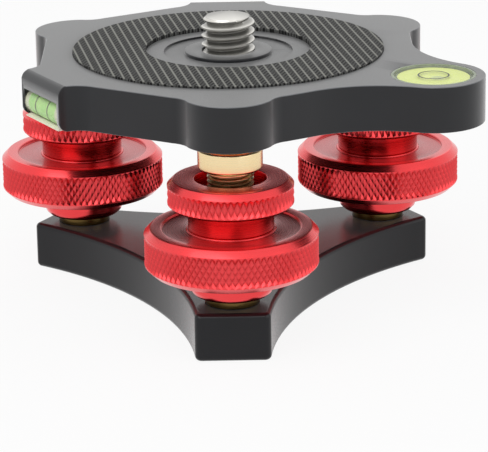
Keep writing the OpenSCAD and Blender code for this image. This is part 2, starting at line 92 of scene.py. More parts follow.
class Column(Enum):
    """The three jack columns."""

    FRONT = Spot("front", 270.0)
    REAR_LEFT = Spot("rear_left", 150.0, 17.0)
    REAR_RIGHT = Spot("rear_right", 30.0, 41.0)

    def place(self) -> Matrix:
        """Returns the move from the middle to the column's axis."""
        angle = math.radians(self.value.angle_deg)
        return Matrix.Translation(Vector((math.cos(angle), math.sin(angle), 0.0)) * COLUMN_REACH * MM)


class TubeSide(Enum):
    """The two tube levels."""

    FRONT = Spot("front", 210.0)
    REAR = Spot("rear", 90.0)


class Slot(Enum):
    """The material slots."""

    BLACK = "black_anodised"
    RED = "red_anodised"
    BRASS = "brass"
    STAINLESS = "stainless"
    RUBBER = "pad_rubber"
    ACETAL = "acetal"
    ACRYLIC = "clear_acrylic"
    LEVEL_FLUID = "level_fluid"
    VIAL_FLUID = "vial_fluid"


def linear(hex_colour: str) -> tuple[float, float, float, float]:
    """Turns an sRGB hex colour to linear light.

    Args:
        hex_colour: The colour as "#rrggbb".

    Returns:
        Red, green, blue and an alpha of 1.
    """
    parts = [int(hex_colour[i : i + 2], 16) / 255 for i in (1, 3, 5)]
    red, green, blue = (p / 12.92 if p <= 0.04045 else ((p + 0.055) / 1.055) ** 2.4 for p in parts)
    return red, green, blue, 1.0


def add_node(tree: Tree, kind: str, inputs: dict | None = None, **settings: object) -> Node:
    """Adds a node with its settings, values and links.

    Args:
        tree: The node tree that gets the node.
        kind: The node's type, without the ShaderNode that it starts with.
        inputs: Socket name or number to its value, or to the socket that it is linked from.
        **settings: Properties of the node.

    Returns:
        The new node.
    """
    node = tree.nodes.new(f"ShaderNode{kind}")
    for key, value in settings.items():
        setattr(node, key, value)
    for key, value in (inputs or {}).items():
        if isinstance(value, Socket):
            tree.links.new(value, node.inputs[key])
        else:
            node.inputs[key].default_value = value
    return node


def relief(
    tree: Tree, height: Socket, roughness: Pair, strength: float, depth_mm: float, span: Pair = NOISE_SPAN
) -> dict[str, Socket]:
    """Lays a fine relief that breaks up the gloss too.

    Args:
        tree: The material's node tree.
        height: The relief's height.
        roughness: Roughness at the two ends of the height's span.
        strength: How strongly the relief shows.
        depth_mm: Its depth in millimetres.
        span: The height's span.

    Returns:
        The inputs of the shader that gets the relief.
    """
    rough = add_node(tree, "MapRange", {
        "Value": height, "From Min": span[0], "From Max": span[1],
        "To Min": roughness[0], "To Max": roughness[1]})
    bump = add_node(tree, "Bump", {"Height": height, "Strength": strength, "Distance": depth_mm * MM})
    return {"Roughness": rough.outputs["Result"], "Normal": bump.outputs["Normal"]}


@dataclass(frozen=True)
class Finish:
    """A finish that dresses its pieces with one material, clouded between a dark and a light tint."""

    name: str
    dark: str
    light: str
    cloud_mm: float
    detail: float

    def material(self) -> bpy.types.Material:
        """Makes the finish's material, the first time it is asked for.

        Returns:
            The material.
        """
        made = bpy.data.materials.get(self.name)
        if made is None:
            made = bpy.data.materials.new(self.name)
            made.use_nodes = True
            tree = made.node_tree
            tree.nodes.clear()
            shader = add_node(tree, "BsdfPrincipled", self.inputs(tree))
            add_node(tree, "OutputMaterial", {"Surface": shader.outputs["BSDF"]})
        return made

    def clouds(self, tree: Tree) -> tuple[Socket, Socket]:
        """Lays clouds of the light tint over the dark one.

        Args:
            tree: The material's node tree.

        Returns:
            The tint, and the clouds themselves.
        """
        place = add_node(tree, "TexCoord").outputs["Object"]
        cloud = add_node(tree, "TexNoise", {
            "Vector": place, "Scale": 1 / (self.cloud_mm * MM), "Detail": self.detail}).outputs["Fac"]
        tint = add_node(
            tree, "Mix", {0: cloud, 6: linear(self.dark), 7: linear(self.light)}, data_type="RGBA")
        return tint.outputs[2], cloud

    def inputs(self, tree: Tree) -> dict[str, object]:
        """Lays the finish's nodes.

        Args:
            tree: The material's node tree.

        Returns:
            The inputs of the material's shader.
        """
        raise NotImplementedError


# Black anodised aluminium, bead blasted: nearly black seen straight on, pale grey where it mirrors the room at a
# low angle, with a fine even grain. Some eased edges get a lighter, metallic colour: a painted highlight, made as
# bare cut metal.
@dataclass(frozen=True)
class BlackAnodise(Finish):
    """Satin black anodised aluminium."""

    dark: str = "#0f1013"
    light: str = "#17181c"
    # Colour of the painted highlight on the eased edges, given as bare cut metal.
    cut: str = "#85878a"
    bloom: float = 0.85
    bloom_roughness: float = 0.37
    roughness: Pair = (0.3, 0.42)
    ior: float = 1.42
    cloud_mm: float = 9.0
    detail: float = 3.0
    # The grain is drawn about twice as coarse as real, so that it shows.
    grit_mm: float = 0.22
    grit_strength: float = 0.12
    grit_depth_mm: float = 0.02

    def inputs(self, tree: Tree) -> dict[str, object]:
        """Lays a clouded black with a blasted grain, and a painted highlight of lighter metal on the cut edges.

        Args:
            tree: The material's node tree.

        Returns:
            The inputs of the material's shader.
        """
        tint, _ = self.clouds(tree)
        place = add_node(tree, "TexCoord").outputs["Object"]
        grain = add_node(tree, "TexNoise", {
            "Vector": place, "Scale": 1 / (self.grit_mm * MM), "Detail": 2.0}).outputs["Fac"]
        # Painted highlight: the eased edges take the lighter colour and turn metallic.
        cut = add_node(tree, "Attribute", attribute_name="cut_edge_highlight").outputs["Fac"]
        highlit = add_node(tree, "Mix", {0: cut, 6: tint, 7: linear(self.cut)}, data_type="RGBA")
        return {
            "Base Color": highlit.outputs[2], "Metallic": cut, "IOR": self.ior, "Sheen Weight": self.bloom,
            "Sheen Roughness": self.bloom_roughness,
            **relief(tree, grain, self.roughness, self.grit_strength, self.grit_depth_mm)}


# Turned metal: fine tool marks run round the axis and break up the gloss, and the colour clouds a little.
@dataclass(frozen=True, kw_only=True)
class TurnedMetal(Finish):
    """Metal turned on a lathe, bare or clear anodised over its colour."""

    roughness: Pair
    # Colour and strength of the painted shade in pits, thread roots, pockets and shaded bands.
    shade_tint: str
    shade_strength: float
    coat: float = 0.0
    coat_roughness: float = 0.15
    cloud_mm: float = 6.0
    detail: float = 4.0
    mark_mm: float = 0.12
    mark_strength: float = 0.5
    mark_depth_mm: float = 0.004

    def inputs(self, tree: Tree) -> dict[str, object]:
        """Lays tool marks that follow the turned attribute: the radius and the height in millimetres.

        Args:
            tree: The material's node tree.

        Returns:
            The inputs of the material's shader.
        """
        tint, _ = self.clouds(tree)
        turned = add_node(tree, "Attribute", attribute_name="turned").outputs["Vector"]
        marks = add_node(tree, "TexNoise", {
            "Vector": turned, "Scale": 1 / self.mark_mm, "Detail": 2.0}).outputs["Fac"]
        # Painted shade: the colour darkens towards the shade tint as far as the shade attribute says.
        groove = add_node(tree, "Attribute", attribute_name="groove").outputs["Fac"]
        depth = add_node(tree, "Math", {0: groove, 1: self.shade_strength}, operation="MULTIPLY")
        shaded = add_node(
            tree, "Mix", {0: depth.outputs[0], 6: tint, 7: linear(self.shade_tint)}, data_type="RGBA")
        return {
            "Base Color": shaded.outputs[2], "Metallic": 1.0, "Coat Weight": self.coat,
            "Coat Roughness": self.coat_roughness,
            **relief(tree, marks, self.roughness, self.mark_strength, self.mark_depth_mm)}


# Moulded nitrile rubber: wide hatched strips that look nearly black, parted by narrow smooth lines. The lines are
# painted lighter, a painted highlight of the light that they catch, and the hatch is painted lighter on its dots
# than in its hollows.
@dataclass(frozen=True)
class RibbedRubber(Finish):
    """Ribbed rubber of the pad: lines across its top, and dots on the strips between them."""

    # Painted shade in the hatch's hollows and a painted highlight on its dots.
    dark: str = "#0e0e0e"
    light: str = "#747472"
    # Colour of the lines, lighter as a painted highlight.
    line: str = "#82827c"
    pitch_mm: float = 1.475
    first_mm: float = 0.7
    line_mm: float = 0.34
    lean_deg: float = 10.0
    # The lines fade in between these heights, so that the pad's side has none.
    fade_mm: Pair = (45.58, 45.64)
    # The dots are drawn longer than real, so that they show.
    dot_mm: Pair = (1.475 / 4, 0.72)
    cloud_mm: float = 0.3
    detail: float = 2.0
    strength: float = 0.5
    depth_mm: float = 0.08
    roughness: Pair = (0.8, 0.6)
    ior: float = 1.3

    def inputs(self, tree: Tree) -> dict[str, object]:
        """Lays straight lines across the pad, and between them small staggered dots.

        Args:
            tree: The material's node tree.

        Returns:
            The inputs of the material's shader.
        """
        place = add_node(tree, "TexCoord").outputs["Object"]
        turned = add_node(tree, "Mapping", {
            "Vector": place, "Location": (-self.first_mm / self.pitch_mm, 0.0, 0.0),
            "Rotation": (0.0, 0.0, -math.radians(self.lean_deg)),
            "Scale": (1 / (self.pitch_mm * MM),) * 3}).outputs["Vector"]
        across = add_node(tree, "SeparateXYZ", {"Vector": turned}).outputs["X"]
        wave = add_node(tree, "Math", {0: across, 1: 0.5}, operation="PINGPONG").outputs[0]
        half = self.line_mm / self.pitch_mm / 2
        line = add_node(tree, "MapRange", {
            "Value": wave, "From Min": half * 0.5, "From Max": half * 1.5, "To Min": 1.0, "To Max": 0.0,
        }, interpolation_type="SMOOTHSTEP").outputs["Result"]
        height = add_node(tree, "SeparateXYZ", {"Vector": place}).outputs["Z"]
        on_top = add_node(tree, "MapRange", {
            "Value": height, "From Min": self.fade_mm[0] * MM, "From Max": self.fade_mm[1] * MM,
        }).outputs["Result"]
        shown = add_node(tree, "Math", {0: line, 1: on_top}, operation="MULTIPLY").outputs[0]
        cells = add_node(tree, "Mapping", {
            "Vector": turned, "Location": (0.5, 0.0, 0.5),
            "Scale": (self.pitch_mm / self.dot_mm[0], self.pitch_mm / self.dot_mm[1], 0.0)}).outputs["Vector"]
        dots = add_node(tree, "TexChecker", {"Vector": cells, "Scale": 1.0}).outputs["Fac"]
        grit = add_node(tree, "TexNoise", {
            "Vector": place, "Scale": 1 / (self.cloud_mm * MM), "Detail": self.detail}).outputs["Fac"]
        hatch = add_node(tree, "Math", {0: dots, 1: grit}, operation="MULTIPLY").outputs[0]
        # Painted highlight and shade: dots lighter than hollows, and the lines lighter still.
        strip = add_node(
            tree, "Mix", {0: hatch, 6: linear(self.dark), 7: linear(self.light)}, data_type="RGBA")
        tint = add_node(
            tree, "Mix", {0: shown, 6: strip.outputs[2], 7: linear(self.line)}, data_type="RGBA")
        rough = add_node(tree, "MapRange", {
            "Value": shown, "To Min": self.roughness[0], "To Max": self.roughness[1]})
        raised = add_node(tree, "Math", {0: hatch, 1: shown}, operation="SUBTRACT").outputs[0]
        bump = add_node(tree, "Bump", {
            "Height": raised, "Strength": self.strength, "Distance": self.depth_mm * MM})
        return {
            "Base Color": tint.outputs[2], "Roughness": rough.outputs["Result"],
            "Normal": bump.outputs["Normal"], "IOR": self.ior}


# Cast acrylic: clear and glossy with a faint green cast and slight ripples from polishing.
@dataclass(frozen=True)
class Plastic(Finish):
    """Plastic with slight ripples and the share of light that it keeps back, here polished acrylic."""

    cloud_mm: float = 1.6
    detail: float = 1.0
    roughness: Pair = (0.02, 0.06)
    ripple_strength: float = 0.08
    ripple_depth_mm: float = 0.02
    ior: float = 1.49
    cover: float = 1.0

    def inputs(self, tree: Tree) -> dict[str, object]:
        """Lays a faint tint with slight ripples.

        Args:
            tree: The material's node tree.

        Returns:
            The inputs of the material's shader.
        """
        tint, ripple = self.clouds(tree)
        rippled = relief(tree, ripple, self.roughness, self.ripple_strength, self.ripple_depth_mm, (0.0, 1.0))
        return {"Base Color": tint, "IOR": self.ior, "Alpha": self.cover, **rippled}


# Machined acetal: dull ivory white with a waxy surface and faint flow clouds, and no ripples.
@dataclass(frozen=True)
class Acetal(Plastic):
    """Machined acetal of the ball cups."""

    dark: str = "#d8d4c8"
    light: str = "#e9e6dc"
    cloud_mm: float = 1.5
    detail: float = 3.0
    roughness: Pair = (0.4, 0.55)
    ripple_strength: float = 0.0
    ior: float = 1.48


# Tinted spirit: a bright fluorescent tint that glows evenly, with the faintest drift of colour.
@dataclass(frozen=True)
class TintedSpirit(Finish):
    """Tinted spirit of a level."""

    cloud_mm: float = 3.0
    detail: float = 2.0
    roughness: float = 0.3
    ior: float = 1.1

    def inputs(self, tree: Tree) -> dict[str, object]:
        """Lays a bright tint with a slow drift of colour, and returns the shader's inputs."""
        tint, _ = self.clouds(tree)
        return {"Base Color": tint, "Roughness": self.roughness, "IOR": self.ior}


# Screen-printed enamel ink: matt black lines with a slightly uneven film.
@dataclass(frozen=True)
class PrintedInk(Finish):
    """Black printed lines of the levels."""

    dark: str = "#101110"
    light: str = "#23261f"
    cloud_mm: float = 0.2
    detail: float = 2.0
    roughness: float = 0.55

    def inputs(self, tree: Tree) -> dict[str, object]:
        """Lays an uneven black film, and returns the shader's inputs."""
        tint, _ = self.clouds(tree)
        return {"Base Color": tint, "Roughness": self.roughness}


BLACK = BlackAnodise("black anodised aluminium")
# The base plate's black is smoother: it mirrors more of the room, and pales less at a low angle.
BASE_BLACK = BlackAnodise("satin black anodised aluminium", bloom=0.25, roughness=(0.18, 0.26), ior=1.35)
RED = TurnedMetal(
    "red anodised aluminium", dark="#e6363a", light="#f2464a", roughness=(0.22, 0.32), shade_tint="#2c0407",
    shade_strength=0.75, coat=0.4, mark_depth_mm=0.0018)
BRASS = TurnedMetal(
    "turned brass", dark="#ecd09a", light="#f6e2b8", roughness=(0.2, 0.34), shade_tint="#4a300e", shade_strength=0.6)
# The bearings' brass is painted darker than the collar's: painted shade under the wheel's hub.
BEARING = TurnedMetal(
    "oiled bearing brass", dark="#8a7040", light="#a28650", roughness=(0.22, 0.36), shade_tint="#2c1c08",
    shade_strength=0.6)
STEEL = TurnedMetal(
    "turned stainless steel", dark="#d2d0ca", light="#e2e0da", roughness=(0.28, 0.42), shade_tint="#0d0c0a",
    shade_strength=0.55)
RUBBER = RibbedRubber("ribbed nitrile rubber")
ACETAL = Acetal("machined acetal")
# Sealant is as dull and waxy as acetal, and paler.
BEAD = Acetal("pale silicone sealant", dark="#f8efdc", light="#fff9ee")
LENS = Plastic("clear cast acrylic", dark="#e8f0d4", light="#f4fae4", cover=0.12)
CUP = Plastic("frosted cast acrylic", dark="#8c997c", light="#a1ae92", cover=0.8)
TUBE = Plastic("drawn acrylic tube", dark="#f5f0d6", light="#fffcea", cover=0.2)
CLOUDY = Plastic("cloudy acrylic end", dark="#d6e0c1", light="#e7efd6", cover=0.9)
YELLOW_SPIRIT = TintedSpirit("yellow-green spirit", dark="#edf984", light="#f9ffaa")
GREEN_SPIRIT = TintedSpirit("pale green spirit", dark="#6ada58", light="#ccfa92")
BUBBLE = TintedSpirit("air bubble in spirit", dark="#cbd79a", light="#dde5b4")
INK = PrintedInk("printed black enamel")


def smooth(mesh: Mesh) -> None:
    """Shades all faces of a shape smooth."""
    for face in mesh.faces:
        face.smooth = True


def new_shape() -> Mesh:
    """Starts a shape that has the turned attribute and the attribute of painted shade.

    Returns:
        The empty shape.
    """
    mesh = bmesh.new()
    mesh.verts.layers.float_vector.new("turned")
    mesh.verts.layers.float.new("groove")
    return mesh


def settle(mesh: Mesh) -> None:
    """Faces a turned shape outwards, smooths it, and keeps its radius and height in the turned attribute.

    Args:
        mesh: The shape.
    """
    marks = mesh.verts.layers.float_vector["turned"]
    bmesh.ops.recalc_face_normals(mesh, faces=mesh.faces)
    smooth(mesh)
    for vert in mesh.verts:
        vert[marks] = (vert.co.xy.length / MM, vert.co.z / MM, 0.0)


def turn(profile: Sequence[Corner], steps: int = 96, closed: bool = True) -> Mesh:
    """Turns an outline round the upright axis, as on a lathe.

    Args:
        profile: Radius, height and rounding of each corner, in millimetres.
        steps: Number of steps of a full turn.
        closed: Whether the outline closes on itself; an open one starts and ends on the axis.

    Returns:
        The turned shape.
    """
    mesh = new_shape()
    corners = [mesh.verts.new((r * MM, 0.0, z * MM)) for r, z, _ in profile]
    for first, second in zip(corners, corners[1:] + corners[: 1 if closed else 0]):
        mesh.edges.new((first, second))
    for rounding in sorted({c[2] for c in profile if c[2] > 0}):
        chosen = [v for v, c in zip(corners, profile) if c[2] == rounding]
        bmesh.ops.bevel(
            mesh, geom=chosen, offset=rounding * MM, offset_type="OFFSET", segments=3, profile=0.5,
            affect="VERTICES", clamp_overlap=True, material=-1)
    bmesh.ops.spin(
        mesh, geom=mesh.verts[:] + mesh.edges[:], cent=(0, 0, 0), axis=(0, 0, 1), dvec=(0, 0, 0), angle=math.tau,
        steps=steps, use_merge=True)
    bmesh.ops.remove_doubles(mesh, verts=mesh.verts, dist=FINE_WELD * MM)
    settle(mesh)
    return mesh


def ring(radii: Pair, heights: Pair, rounds: Pair = (0.0, 0.0), steps: int = 96) -> Mesh:
    """Turns a plain ring, or a disc where the inner radius is 0.

    Args:
        radii: Inner and outer radius in millimetres.
        heights: Heights of its two faces in millimetres.
        rounds: Rounding of the outer rim at each face.
        steps: Number of steps of a full turn.

    Returns:
        The ring.
    """
    (inner, outer), (low, high), (first, second) = radii, heights, rounds
    profile = [(inner, low, 0.0), (outer, low, first), (outer, high, second), (inner, high, 0.0)]
    return turn(profile, steps, closed=inner > 0)


def darken(mesh: Mesh, radius: float, heights: Pair, share: float = 1.0) -> None:
    """Paints shade on a band inside a radius, darkening it as the pits and roots are darkened.

    Args:
        mesh: A turned shape.
        radius: Reach of the band in millimetres.
        heights: Lowest and highest points of the band in millimetres.
        share: How dark the painted shade gets, against the darkest, which is 1.
    """
    groove = mesh.verts.layers.float["groove"]
    for vert in mesh.verts:
        if vert.co.xy.length < radius * MM and heights[0] * MM < vert.co.z < heights[1] * MM:
            vert[groove] = share


def absorb(mesh: Mesh, other: Mesh) -> None:
    """Adds a second shape to a shape, and frees the second.

    Args:
        mesh: The shape that grows.
        other: The shape that it takes up.
    """
    swap = bpy.data.meshes.new("swap")
    other.to_mesh(swap)
    other.free()
    mesh.from_mesh(swap)
    bpy.data.meshes.remove(swap)


def cap(mesh: Mesh, height: float, side: int) -> None:
    """Cuts a shape off flat and closes the cut.

    Args:
        mesh: The shape.
        height: Height of the cut in millimetres.
        side: 1 to take away what lies above, -1 for what lies below.
    """
    cut = bmesh.ops.bisect_plane(
        mesh, geom=mesh.verts[:] + mesh.edges[:] + mesh.faces[:], dist=PLANE_DIST, plane_co=(0, 0, height * MM),
        plane_no=(0, 0, side), clear_outer=True)
    bmesh.ops.edgeloop_fill(mesh, edges=[e for e in cut["geom_cut"] if isinstance(e, Edge)])


@dataclass(frozen=True)
class Cut:
    """A run of sharp edges that is rounded or cut: its width in millimetres, and how strong the painted highlight
    on it is, given as bare metal.
    """

    width: float
    wanted: Callable[[Edge], bool]
    bright: float = 0.0
    segments: int = 3


def soften(node: str, cuts: Sequence[Cut]) -> Mesh:
    """Copies a solid of the model and eases some of its sharp edges.

    Args:
        node: The solid's name.
        cuts: The cuts, in order.

    Returns:
        The softened copy, with the strength of the painted highlight on its cuts in a face attribute.
    """
    mesh = bmesh.new()
    mesh.from_mesh(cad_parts[node].data)
    bmesh.ops.remove_doubles(mesh, verts=mesh.verts, dist=WELD * MM)
    bmesh.ops.dissolve_limit(mesh, angle_limit=math.radians(FLAT_DEG), verts=mesh.verts, edges=mesh.edges)
    marks = mesh.faces.layers.float.new("cut_edge_highlight")
    least = math.radians(SHARP_DEG)
    for cut in cuts:
        sharp = [e for e in mesh.edges if len(e.link_faces) == 2 and e.calc_face_angle() > least]
        made = bmesh.ops.bevel(
            mesh, geom=[e for e in sharp if cut.wanted(e)], offset=cut.width * MM, offset_type="OFFSET",
            segments=cut.segments, profile=0.5, affect="EDGES", clamp_overlap=True, material=-1)
        # Painted highlight: the faces of each cut keep its highlight strength.
        for face in made["faces"]:
            face[marks] = cut.bright
    bmesh.ops.dissolve_degenerate(mesh, dist=WELD * MM, edges=mesh.edges)
    smooth(mesh)
    return mesh


def middle_of(edge: Edge) -> Vector:
    """Returns the middle of an edge in millimetres."""
    return (edge.verts[0].co + edge.verts[1].co) / 2 / MM


def off_columns(point: Vector, radius: float) -> bool:
    """Says whether a point lies outside a radius round every column's axis, both in millimetres."""
    return all((point.xy - column.place().translation.xy / MM).length > radius for column in Column)


def level(edge: Edge, height: float) -> bool:
    """Says whether an edge lies flat at a height in millimetres."""
    return all(abs(vert.co.z / MM - height) < 2 * TOUCH for vert in edge.verts)


def make_piece(
    name: str, mesh: Mesh, finish: Finish, body: str, stands_for: Sequence[str] = (),
    move: Matrix | None = None,
) -> bpy.types.Object:
    """Makes a finished piece of a shape and puts it on its body.

    Args:
        name: The piece's name.
        mesh: The shape, which is freed.
        finish: The finish that dresses it.
        body: The body that it rides on.
        stands_for: Solids of the model that the piece replaces.
        move: The move of the shape to its place, if it isn't there.

    Returns:
        The piece.
    """
    if move is not None:
        mesh.transform(move)
    data = bpy.data.meshes.new(name)
    mesh.to_mesh(data)
    mesh.free()
    data.set_sharp_from_angle(angle=math.radians(SHARP_DEG))
    data.materials.append(finish.material())
    piece = bpy.data.objects.new(name, data)
    bpy.context.scene.collection.objects.link(piece)
    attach(piece, body)
    if stands_for:
        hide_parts(*stands_for)
    LOG.info("%s: %d faces on %s", name, len(data.polygons), body)
    return piece


def dress_node(node: str, finish: Finish) -> None:
    """Gives a solid of the model its finish.

    Args:
        node: The solid's name.
        finish: The finish.
    """
    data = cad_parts[node].data
    data.materials.clear()
    data.materials.append(finish.material())
    LOG.info("%s: dressed as %s", node, finish.name)


def even_shading(piece: bpy.types.Object, share: int = 80) -> None:
    """Keeps the flat faces of a softened plate flat to the eye, up to their rounded edges.

    Args:
        piece: The plate.
        share: How much more the large faces count, with 50 for no more than the small ones.
    """
    weights = piece.modifiers.new("even shading", "WEIGHTED_NORMAL")
    weights.keep_sharp = True
    weights.weight = share


@dataclass
class Thread:
    """A right-hand thread with the 60 degree form."""

    radius: float
    pitch: float
    low: float
    high: float
    tip: float = 0.0
    drop: float = 0.0
    steps: int = 60
    depth_share: float = 0.61
    land_share: float = 0.15
    root_share: float = 0.12
    shade_gain: float = 1.8

    def depth(self) -> float:
        """Returns the depth of the thread."""
        return self.depth_share * self.pitch

    def outline(self) -> list[Pair]:
        """Draws one turn of the thread, with a corner halfway up each flank.

        Returns:
            Radius and height of each corner, from the start of the turn.
        """
        root, pitch = self.radius - self.depth(), self.pitch
        flank = (1 - self.land_share - self.root_share) / 2 * pitch
        start, middle = self.root_share * pitch, (root + self.radius) / 2
        return [
            (root, 0.0), (root, start), (middle, start + flank / 2), (self.radius, start + flank),
            (self.radius, pitch - flank), (middle, pitch - flank / 2), (root, pitch)]

    def build(self) -> Mesh:
        """Builds the thread between its two ends, capped flat, with its tip chamfered by the tip size.

        Returns:
            The thread round the upright axis.
        """
        mesh = new_shape()
        groove = mesh.verts.layers.float["groove"]
        foot = self.low - self.pitch - self.drop
        corners = [mesh.verts.new((r * MM, 0.0, (foot + z) * MM)) for r, z in self.outline()]
        for first, second in zip(corners, corners[1:]):
            mesh.edges.new((first, second))
        turns = math.ceil((self.high - self.low) / self.pitch) + 2
        bmesh.ops.spin(
            mesh, geom=mesh.verts[:] + mesh.edges[:], cent=(0, 0, 0), axis=(0, 0, 1),
            dvec=(0, 0, self.pitch * MM / self.steps), angle=math.tau * turns, steps=self.steps * turns)
        bmesh.ops.remove_doubles(mesh, verts=mesh.verts, dist=WELD * MM)
        for vert in mesh.verts:
            radius = vert.co.xy.length / MM
            # Painted shade: the colour darkens from the crest to the root.
            vert[groove] = min(1.0, self.shade_gain * (self.radius - radius) / self.depth())
            most = self.radius - self.tip + max(0.0, self.high - vert.co.z / MM)
            if self.tip and radius > most:
                vert.co.xy *= most / radius
        cap(mesh, self.high, 1)
        cap(mesh, self.low, -1)
        settle(mesh)
        return mesh


@dataclass
class Knurl:
    """A crossed knurl of small pyramids round a turned band."""

    radius: float
    low: float
    high: float
    teeth: int
    rows: int
    rim: float = 0.35
    depth: float = 0.32
    pit_shade: float = 0.4

    def step(self) -> float:
        """Returns the height from one row of pits to the next."""
        return (self.high - self.low - 2 * self.rim) / (self.rows - 1)

    def outline(self) -> list[Corner]:
        """Returns the corners of the band's outline, from low to high."""
        rows = [self.low + self.rim + self.step() * row for row in range(self.rows)]
        return [(self.radius, height, 0.0) for height in (self.low, *rows, self.high)]

    def cut(self, mesh: Mesh) -> None:
        """Sinks every second point of the band, up to its two rims, to the bottom of the grooves.

        Args:
            mesh: A shape turned in twice as many steps as the knurl has teeth.
        """
        groove = mesh.verts.layers.float["groove"]
        band = set()
        for vert in mesh.verts:
            radius, height = vert.co.xy.length / MM, vert.co.z / MM
            if abs(radius - self.radius) > TOUCH or not self.low - TOUCH < height < self.high + TOUCH:
                continue
            band.add(vert)
            row = round((height - self.low - self.rim) / self.step())
            column = round(math.atan2(vert.co.y, vert.co.x) / math.tau * 2 * self.teeth)
            # Painted shade: the sunk points are painted darker, as shade in the pits.
            if (row + column) % 2 and self.low + TOUCH < height < self.high - TOUCH:
                vert[groove] = self.pit_shade
                vert.co.xy *= (self.radius - self.depth) / self.radius
        faces = [f for f in mesh.faces if all(v in band for v in f.verts)]
        for face in faces:
            face.smooth = False
        bmesh.ops.triangulate(mesh, faces=faces, quad_method="SHORT_EDGE")


@dataclass
class BasePlate:
    """The three-armed plate that the columns stand on."""

    thickness: float = 8.6
    edge: float = 1.1
    edge_segments: int = 5
    pocket_radius: float = 6.2
    thread_low: float = 0.3
    thread_high: float = 7.7
    thread_gap: float = 0.03
    thread_wall: float = 0.02
    face_corners: int = 8

    def build(self) -> None:
        """Builds the plate with eased edges, and the thread inside its middle hole."""
        plate = soften("base_plate", [
            Cut(self.edge, lambda e: self.outer(e) and level(e, self.thickness), segments=self.edge_segments),
            Cut(self.edge, lambda e: self.outer(e) and level(e, 0.0), segments=self.edge_segments),
        ])
        even_shading(make_piece("base_plate_eased", plate, BASE_BLACK, "base", ["base_plate"]))
        thread = Thread(THREAD_RADIUS - self.thread_gap, THREAD_PITCH, self.thread_low, self.thread_high)
        make_piece("tripod_thread", self.inside(thread), BASE_BLACK, "base")

    def outer(self, edge: Edge) -> bool:
        """Says whether a sharp edge belongs to the plate's outline and to none of its holes."""
        middle = middle_of(edge)
        return middle.xy.length > 2 * THREAD_RADIUS and off_columns(middle, self.pocket_radius)

    def inside(self, thread: Thread) -> Mesh:
        """Shapes the turns of a thread as they stand on the wall of the hole.

        Args:
            thread: The thread of the hole, with the wall as its radius.

        Returns:
            The turns, as a thin skin.
        """
        mesh = thread.build()
        caps = [f for f in mesh.faces if len(f.verts) > self.face_corners]
        bmesh.ops.delete(mesh, geom=caps, context="FACES_ONLY")
        bmesh.ops.reverse_faces(mesh, faces=mesh.faces)
        for vert in mesh.verts:
            radius = vert.co.xy.length / MM
            vert.co.xy *= (2 * thread.radius - thread.depth() - radius) / radius
        mesh.normal_update()
        bmesh.ops.solidify(mesh, geom=mesh.faces[:], thickness=self.thread_wall * MM)
        return mesh


@dataclass
class TopPlate:
    """The scalloped plate that tilts on the three balls."""

    low: float = 37.2
    edge: float = 0.42
    # Strength of the painted highlight on the top edges and on the under edges.
    edge_highlight: float = 0.55
    under_edge: float = 0.15
    under_highlight: float = 0.2
    under_segments: int = 2
    corner: float = 0.35
    pad_reach: float = 28.4
    bullseye_radius: float = 7.7
    socket_radius: float = 5.9
    slot_reach: float = 32.5
    slot_half: float = 6.4
    slot_high: float = 42.6

    def outer(self, edge: Edge) -> bool:
        """Says whether a sharp edge belongs to the plate's outline.

        Args:
            edge: The edge.

        Returns:
            True for an edge that lies in none of the plate's pockets and slots.
        """
        middle = middle_of(edge)
        if middle.xy.length < self.pad_reach or (middle.xy - Vector(BULLSEYE)).length < self.bullseye_radius:
            return False
        return off_columns(middle, self.socket_radius) and not self.in_slot(middle)

    def in_slot(self, point: Vector) -> bool:
        """Says whether a point in millimetres lies in a tube level's slot."""
        turned = [Matrix.Rotation(-math.radians(s.value.angle_deg), 3, "Z") @ point for s in TubeSide]
        return any(t.x > self.slot_reach and abs(t.y) < self.slot_half and t.z < self.slot_high for t in turned)

    def build(self) -> None:
        """Builds the plate with its outline eased."""
        plate = soften("top_plate", [
            Cut(self.corner, lambda e: self.outer(e) and not level(e, PLATE_HIGH) and not level(e, self.low)),
            Cut(self.edge, lambda e: self.outer(e) and level(e, PLATE_HIGH), self.edge_highlight),
            Cut(self.under_edge, lambda e: self.outer(e) and level(e, self.low), self.under_highlight,
                self.under_segments),
        ])
        even_shading(make_piece("top_plate_eased", plate, BLACK, "platform", ["top_plate"]))


